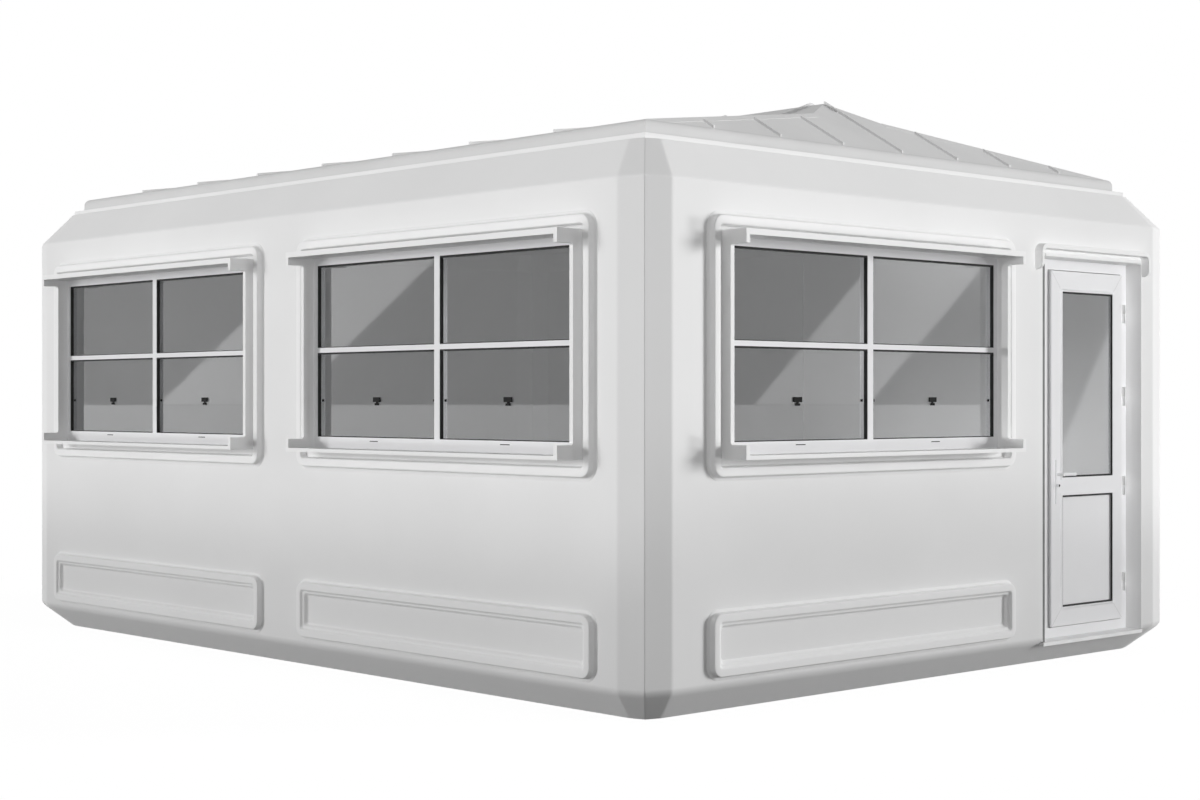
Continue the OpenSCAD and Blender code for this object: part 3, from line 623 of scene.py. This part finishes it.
def keyhole():
    """A black round shape over a slot in the lock, where the keyhole is: painted shade for the hole's dark
    inside.
    """
    radius, sides, slot, slot_h = 0.0062, 20, 0.0025, 0.0080
    face = LEAF_D - LOCK_OUT
    slot_d, round_d, back = face - 0.0006, face - 0.0008, face + 0.001
    verts, faces = [], []
    join(verts, faces, box_corners("front", (LOCK_U - slot, slot_d, LOCK_Z - slot_h),
                                   (LOCK_U + slot, back, LOCK_Z)), BOX_FACES)
    points = []
    for d in (round_d, back):
        for k in range(sides):
            angle = 2 * math.pi * k / sides
            points.append(on_wall("front", LOCK_U + radius * math.cos(angle), d,
                                  LOCK_Z + radius * math.sin(angle)))
    join(verts, faces, points, tube_faces(2, sides))
    new_piece("keyhole", verts, faces, PLASTIC_AND_KEYHOLE_SHADE, "door", smooth=False)


def recess_shade_strip():
    """A dark grey strip along the left edge of the door's recess: painted shade where that edge lies in
    shadow.
    """
    width, front, back = 0.023, 0.003, 0.008
    shade_strip = ((RECESS_LEFT - 0.0005, front, FLOOR_Z + 0.018), (RECESS_LEFT + width, back, RECESS_TOP - 0.002))
    boxes_piece("recess_edge_seal", "front", [shade_strip], RECESS_SHADE, "booth", bevel=0.001)


def barrel_points(low, high, radius, rim, sides):
    """Four rows of points of an upright round bar on the hinge line, with rims that draw in."""
    points = []
    for z, r in ((low, radius - rim), (low + rim, radius), (high - rim, radius), (high, radius - rim)):
        for k in range(sides):
            angle = 2 * math.pi * k / sides
            points.append(on_wall("front", HINGE_U + r * math.cos(angle), HINGE_D + r * math.sin(angle), z))
    return points


def hinges():
    """Slim lift-off hinges: the lower half sits on the frame and the upper half on the leaf."""
    radius, rim, sides, half, play, plate, lap = 0.0065, 0.0012, 20, 0.050, 0.0005, 0.002, 0.001
    post_plate, post_web = (0.005, 0.014), (0.004, 0.007)
    flag_plate, flag_web = (-0.012, -0.003), (-0.006, -0.003)
    for name, body, node in (("hinge_posts", "booth", "door_hinge_posts"),
                             ("hinge_flags", "door", "door_hinge_flags")):
        verts, faces = [], []
        for bottom in HINGE_Z:
            if body == "booth":
                low, high, seat, back = bottom, bottom + half, FRAME_D, FRAME_D
                (plate_0, plate_1), (web_0, web_1) = post_plate, post_web
            else:
                low, high, seat, back = bottom + half + play, bottom + 2 * half, LEAF_D, LEAF_D + lap / 2
                (plate_0, plate_1), (web_0, web_1) = flag_plate, flag_web
            boxes = [((HINGE_U + plate_0, seat - plate, low), (HINGE_U + plate_1, back, high)),
                     ((HINGE_U + web_0, HINGE_D, low), (HINGE_U + web_1, seat - lap, high))]
            join(verts, faces, barrel_points(low, high, radius, rim, sides), tube_faces(4, sides))
            for corner, opposite in boxes:
                join(verts, faces, box_corners("front", corner, opposite), BOX_FACES)
        obj = new_piece(name, verts, faces, MOULDING_PAINTED_LIGHTER, body)
        obj.data.set_sharp_from_angle(angle=math.radians(50))
        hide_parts(node)


def canopy_stations(left, right, top, foot, band, steps):
    """Places along the canopy bar's middle line, from its left foot to its right foot.

    Each is (u, z, angle of the section's outer side, share of the full section)."""
    radius, end = 0.048, 0.034
    bend, mid_z = radius - band / 2, top - radius
    quarter = [math.pi / 2 * k / steps for k in range(steps + 1)]
    tip = [(foot + end * (1 - math.cos(a)), math.sin(a)) for a in quarter]
    stations = [(left + band / 2, z, math.pi, share) for z, share in tip]
    stations += [(left + radius - bend * math.cos(a), mid_z + bend * math.sin(a), math.pi - a, 1.0)
                 for a in quarter]
    stations += [(right - radius + bend * math.sin(a), mid_z + bend * math.cos(a), math.pi / 2 - a, 1.0)
                 for a in quarter]
    stations += [(right - band / 2, z, 0.0, share) for z, share in reversed(tip)]
    return stations


def canopy_section(band, steps):
    """The canopy bar's section: (across the band, height over the wall), with drafted sides."""
    half, out, edge, draft, sunk = band / 2, 0.043, 0.004, 0.003, -0.002
    quarter = [math.pi / 2 * k / steps for k in range(steps + 1)]
    section = [(-half, sunk)]
    section += [(-half + draft + edge * (1 - math.cos(a)), out - edge * (1 - math.sin(a))) for a in quarter]
    section += [(half - draft - edge * (1 - math.sin(a)), out - edge * (1 - math.cos(a))) for a in quarter]
    section.append((half, sunk))
    return section


def door_canopy():
    """The rounded bar over the door with its turned-down ends, and the drip bead under it."""
    band, steps, thinnest = 0.030, 8, 0.35
    left, right, top, foot = 0.742, 1.750, 2.139, 2.005
    stations = canopy_stations(left, right, top, foot, band, steps)
    section = canopy_section(band, steps)
    verts = []
    for u, z, angle, share in stations:
        for across, height in section:
            n = across * (thinnest + (1 - thinnest) * share)
            raised = height * share if height > 0 else height
            verts.append(on_wall("front", u + n * math.cos(angle), -raised, z + n * math.sin(angle)))
    faces = tube_faces(len(stations), len(section))
    bar = new_piece("door_canopy_bar", verts, faces, MOULDING_PAINTED_LIGHTER, "booth")
    bar.data.set_sharp_from_angle(angle=math.radians(50))
    weigh_normals(bar)
    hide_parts("door_canopy")
    bead_left, bead_right, bead_out, bead_h = 0.805, 1.687, 0.022, 0.017
    box = ((bead_left, -bead_out, RECESS_TOP), (bead_right, 0.001, RECESS_TOP + bead_h))
    bead = boxes_piece("door_drip_bead", "front", [box], MOULDING_PAINTED_LIGHTER, "booth", bevel=0.005)
    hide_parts("door_canopy")


# Roof

def hip_flashings():
    """Thin folded strips along the four hips, pointed at the eave corners, up to the ridge cap."""
    half, under, tip, tip_half, taper = 0.035, 0.002, 0.004, 0.001, 0.09
    lifts = (0.0010, 0.0018, 0.0010)
    along = Vector((EAVE_X, EAVE_Y - RIDGE_Y))
    across = Vector((-along.y, along.x)).normalized()
    stations = ((tip, tip_half), (taper, half), (1 - CAP_HALF / EAVE_X, half))
    verts, faces = [], []
    for sx in (-1, 1):
        for sy in (-1, 1):
            points = []
            for share, width in stations:
                mid = Vector((-EAVE_X, -EAVE_Y)) + along * share
                places = [mid + across * width * side for side in (-1, 0, 1)]
                tops = [EAVE_Z + min(END_SLOPE * (p.y + EAVE_Y), SIDE_SLOPE * (p.x + EAVE_X)) for p in places]
                points += [(-sx * p.x, -sy * p.y, z + lift) for p, z, lift in zip(places, tops, lifts)]
                points += [(-sx * p.x, -sy * p.y, z - under) for p, z in zip(places[::-1], tops[::-1])]
            join(verts, faces, points, tube_faces(len(stations), 2 * len(lifts)))
    obj = new_piece("hip_flashings", verts, faces, ROOF, "booth", smooth=False)
    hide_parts("hip_caps")


# Looks of the nodes that stay as they are

def paint_nodes():
    """Gives each of these nodes its finish, and rounds its edges where a width is given."""
    windows = [name + "_window_" for name, _, _ in WINDOWS]
    slopes = ["roof_front", "roof_back", "roof_left", "roof_right"]
    for material, width, names in ((MOULDING_PAINTED_LIGHTER, 0.003, [name + "surround" for name in windows]),
                                   (PROFILE, 0.002, [name + "frame" for name in windows]),
                                   (GLASS, 0.0, [name + "glass" for name in windows]),
                                   (PANEL, 0.003, ["door_lining"]),
                                   (PANEL, 0.006, ["eave_rim"]),
                                   (PROFILE, 0.002, ["door_frame", "door_leaf", "door_panel"]),
                                   (GLASS, 0.0, ["door_glass"]),
                                   (PROFILE, 0.0015, ["door_handle"]),
                                   (SILVER, 0.002, ["door_threshold"]),
                                   (ROOF, 0.002, slopes + ["ridge_cap"]),
                                   (TRIM, 0.0, ["roof_fascia"]),
                                   (BOARD, 0.0, ["floor_deck"]),
                                   (INNER, 0.0, ["ceiling_panel", "inner_joint_strips"])):
        for name in names:
            paint(nodes[name], material)
            if width:
                soften(nodes[name], width)
    nodes["roof_fascia"].data.shade_smooth()


# Stage, light and camera

def stage():
    """A pale floor that keeps the booth's shadow."""
    margin, drop, white = 3.0, -0.001, 0.965
    x, y = HALF_W + margin, HALF_L + margin
    mesh = bpy.data.meshes.new("studio_floor")
    mesh.from_pydata([(-x, -y, drop), (x, -y, drop), (x, y, drop), (-x, y, drop)], [], [(0, 1, 2, 3)])
    floor = bpy.data.objects.new("studio_floor", mesh)
    bpy.context.scene.collection.objects.link(floor)
    material, tree = new_material("studio_floor")
    output = tree.nodes.new("ShaderNodeOutputMaterial")
    diffuse = add(tree, "ShaderNodeBsdfDiffuse", Color=(*grey(0.08), 1))
    glow = tree.nodes.new("ShaderNodeEmission")
    seen = calc(tree, "MAXIMUM", *ray_kinds(tree))
    tree.links.new(calc(tree, "MULTIPLY", seen, white), glow.inputs["Strength"])
    both = tree.nodes.new("ShaderNodeAddShader")
    tree.links.new(diffuse.outputs["BSDF"], both.inputs[0])
    tree.links.new(glow.outputs["Emission"], both.inputs[1])
    tree.links.new(both.outputs["Shader"], output.inputs["Surface"])
    mesh.materials.append(material)


def tilted_strip(tree, angle, height, tilt, middle, half):
    """1 within a soft-edged strip that leans over as it rises, 0 outside it."""
    blur = 0.002
    leaning = calc(tree, "ADD", angle, calc(tree, "MULTIPLY", height, tilt))
    away = calc(tree, "ABSOLUTE", calc(tree, "SUBTRACT", leaning, middle))
    return soft_step(tree, away, half + blur, half - blur)


def world():
    """A soft even glow on the booth, and white to the camera.

    Glass and metal see a grey room with three leaning light strips and a lighter ground. The first strip
    shows in the left windows, the second in the front window and the third, weaker one in the door."""
    third_share, ground_share = 0.85, 0.85
    scene_world = bpy.data.worlds.new("studio")
    bpy.context.scene.world = scene_world
    scene_world.use_nodes = True
    tree = scene_world.node_tree
    tree.nodes.clear()
    output = tree.nodes.new("ShaderNodeOutputWorld")
    split = tree.nodes.new("ShaderNodeSeparateXYZ")
    tree.links.new(tree.nodes.new("ShaderNodeTexCoord").outputs["Generated"], split.inputs[0])
    x, y, z = split.outputs
    from_back = calc(tree, "ARCTAN2", calc(tree, "MULTIPLY", x, -1.0), y)
    from_right = calc(tree, "ARCTAN2", calc(tree, "MULTIPLY", y, -1.0), x)
    first = tilted_strip(tree, from_back, z, tilt=-1.01, middle=0.5675, half=0.031)
    second = tilted_strip(tree, from_right, z, tilt=0.83, middle=0.714, half=0.028)
    third = tilted_strip(tree, from_right, z, tilt=0.405, middle=0.516, half=0.070)
    third = calc(tree, "MULTIPLY", third, third_share)
    strips = calc(tree, "ADD", first, calc(tree, "ADD", second, third))
    doorway = tilted_strip(tree, from_right, z, tilt=0.0, middle=0.565, half=0.042)
    below = soft_step(tree, z, -0.0018, -0.0030)
    ground = calc(tree, "MULTIPLY", below, calc(tree, "SUBTRACT", 1.0, doorway))
    bright = calc(tree, "MAXIMUM", calc(tree, "MULTIPLY", strips, calc(tree, "SUBTRACT", 1.0, ground)),
                  calc(tree, "MULTIPLY", ground, ground_share))
    room = tree.nodes.new("ShaderNodeBackground")
    tree.links.new(ramp(tree, bright, 0.0, 1.0, grey(0.66), grey(1.26)), room.inputs["Color"])
    glow = add(tree, "ShaderNodeBackground", Color=(*grey(0.09), 1))
    white = add(tree, "ShaderNodeBackground", Color=(1, 1, 1, 1))
    camera_ray, mirrored = ray_kinds(tree)
    lit = mix_shaders(tree, mirrored, glow.outputs["Background"], room.outputs["Background"])
    shown = mix_shaders(tree, camera_ray, lit, white.outputs["Background"])
    tree.links.new(shown, output.inputs["Surface"])


def soft_sun(name, toward, energy, width):
    """A distant soft lamp: toward is the direction of the lamp, and width its angle in degrees."""
    data = bpy.data.lights.new(name, "SUN")
    data.energy = energy
    data.angle = math.radians(width)
    lamp = bpy.data.objects.new(name, data)
    lamp.rotation_euler = Vector(toward).to_track_quat("Z", "Y").to_euler()
    bpy.context.scene.collection.objects.link(lamp)
    lamp.visible_glossy = False
    lamp.visible_transmission = False
    return lamp


def lights():
    """Far lamps at both sides, a high and a low one each, with weaker ones at the front left and overhead.

    The floor keeps the low lamps off the foot of the walls. The right lamps stand in for light from all
    of that side, so the outer skin, the door's recess and fittings and the roof's low seams cast no shadow
    from them."""
    left, right, high, low = (-0.788, 0.616), (0.826, -0.563), 0.14, -0.176
    soft_sun("left_high_lamp", (*left, high), energy=1.68, width=16)
    soft_sun("left_low_lamp", (*left, low), energy=0.62, width=7)
    right_lamps = (soft_sun("right_high_lamp", (*right, high), energy=2.70, width=16),
                   soft_sun("right_low_lamp", (*right, low), energy=0.92, width=7))
    soft_sun("front_fill", (-0.76, -0.65, 0.0), energy=0.9, width=60)
    soft_sun("top_fill", (0.0, -0.2, 1.0), energy=0.35, width=60)
    unshaded = bpy.data.collections.new("no_shadow_from_right_lamps")
    for name in ("door_lining", "door_handle", "roof_front", "roof_back", "roof_left", "roof_right"):
        unshaded.objects.link(nodes[name])
    for name in ("cabin_shell", "hinge_posts", "hinge_flags", "door_beads", "door_canopy_bar",
                 "door_drip_bead", "hip_flashings"):
        unshaded.objects.link(bpy.data.objects[name])
    for link in unshaded.collection_objects:
        link.light_linking.link_state = "EXCLUDE"
    for lamp in right_lamps:
        lamp.light_linking.blocker_collection = unshaded


def camera():
    """The photograph's view: level, towards the front left corner."""
    data = bpy.data.cameras.new("photo_view")
    data.sensor_width = 36.0
    data.lens = 60.37
    view = bpy.data.objects.new("photo_view", data)
    view.location = (-7.7565, -8.5411, 1.348)
    look = Vector((0.6819, 0.7315, 0.0))
    view.rotation_euler = look.to_track_quat("-Z", "Y").to_euler()
    bpy.context.scene.collection.objects.link(view)
    bpy.context.scene.camera = view


OUTER_SKIN_D = WALL_T - 0.008
INNER_SKIN_D = WALL_T - 0.007
body_shell("cabin_shell", 0.0, OUTER_SKIN_D, PANEL, door_side=0.010)
body_shell("cabin_inner_skin", INNER_SKIN_D, WALL_T, INNER, door_side=0.080)
mouldings()
window_gaskets()
window_fittings()
door_beads()
door_mitres()
keyhole()
recess_shade_strip()
hinges()
door_canopy()
hip_flashings()
paint_nodes()
stage()
world()
lights()
camera()
bpy.context.scene.view_settings.view_transform = "Standard"
